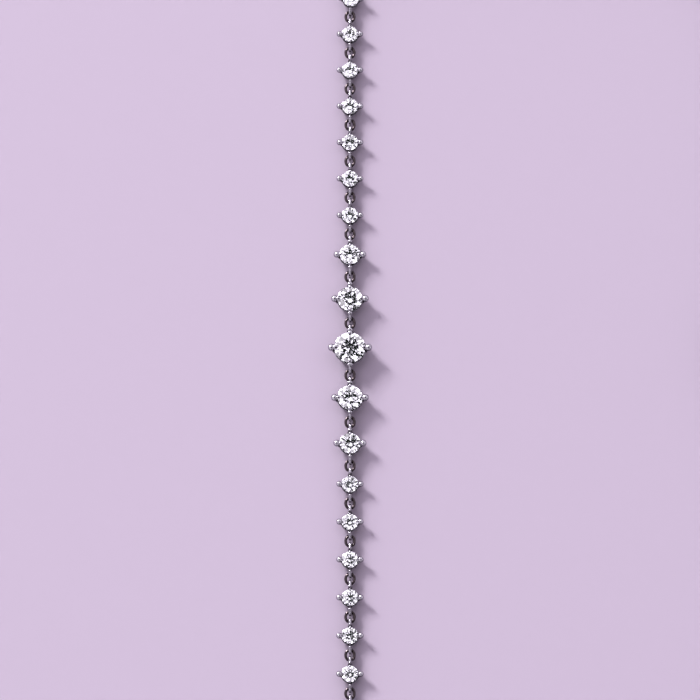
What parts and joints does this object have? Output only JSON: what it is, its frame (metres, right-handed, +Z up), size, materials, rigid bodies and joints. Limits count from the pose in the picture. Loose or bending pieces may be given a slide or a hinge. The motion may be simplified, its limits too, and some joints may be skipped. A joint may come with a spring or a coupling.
{
  "type": "tennis bracelet",
  "caption": "Line bracelet of round brilliant stones in four-claw settings joined by small jump rings, graduated to one large stone, closed by a box clasp.",
  "frame": {"origin": "middle of the loop's outline, on the surface that the bracelet lies on", "axes": "+Z up from the surface, +Y along the straight front, +X from the front with the largest stone to the clasp"},
  "size_m": [0.0352, 0.0714, 0.0017],
  "materials": {
    "brilliant": "colourless cut gemstone, polished facets",
    "white_metal": "polished rhodium-plated white metal"
  },
  "bodies": {
    "root": {"stone_01": "brilliant", "setting_01": "white_metal", "stone_02": "brilliant", "setting_02": "white_metal", "stone_03": "brilliant", "setting_03": "white_metal", "stone_04": "brilliant", "setting_04": "white_metal", "stone_05": "brilliant", "setting_05": "white_metal", "stone_06": "brilliant", "setting_06": "white_metal", "stone_07": "brilliant", "setting_07": "white_metal", "stone_08": "brilliant", "setting_08": "white_metal", "stone_09": "brilliant", "setting_09": "white_metal", "stone_10": "brilliant", "setting_10": "white_metal", "stone_11": "brilliant", "setting_11": "white_metal", "stone_12": "brilliant", "setting_12": "white_metal", "stone_13": "brilliant", "setting_13": "white_metal", "jump_ring_01": "white_metal", "jump_ring_02": "white_metal", "jump_ring_03": "white_metal", "jump_ring_04": "white_metal", "jump_ring_05": "white_metal", "jump_ring_06": "white_metal", "jump_ring_07": "white_metal", "jump_ring_08": "white_metal", "jump_ring_09": "white_metal", "jump_ring_10": "white_metal", "jump_ring_11": "white_metal", "jump_ring_12": "white_metal", "back_strand_north": "white_metal", "back_strand_south": "white_metal", "clasp": "white_metal"}
  },
  "joints": []
}
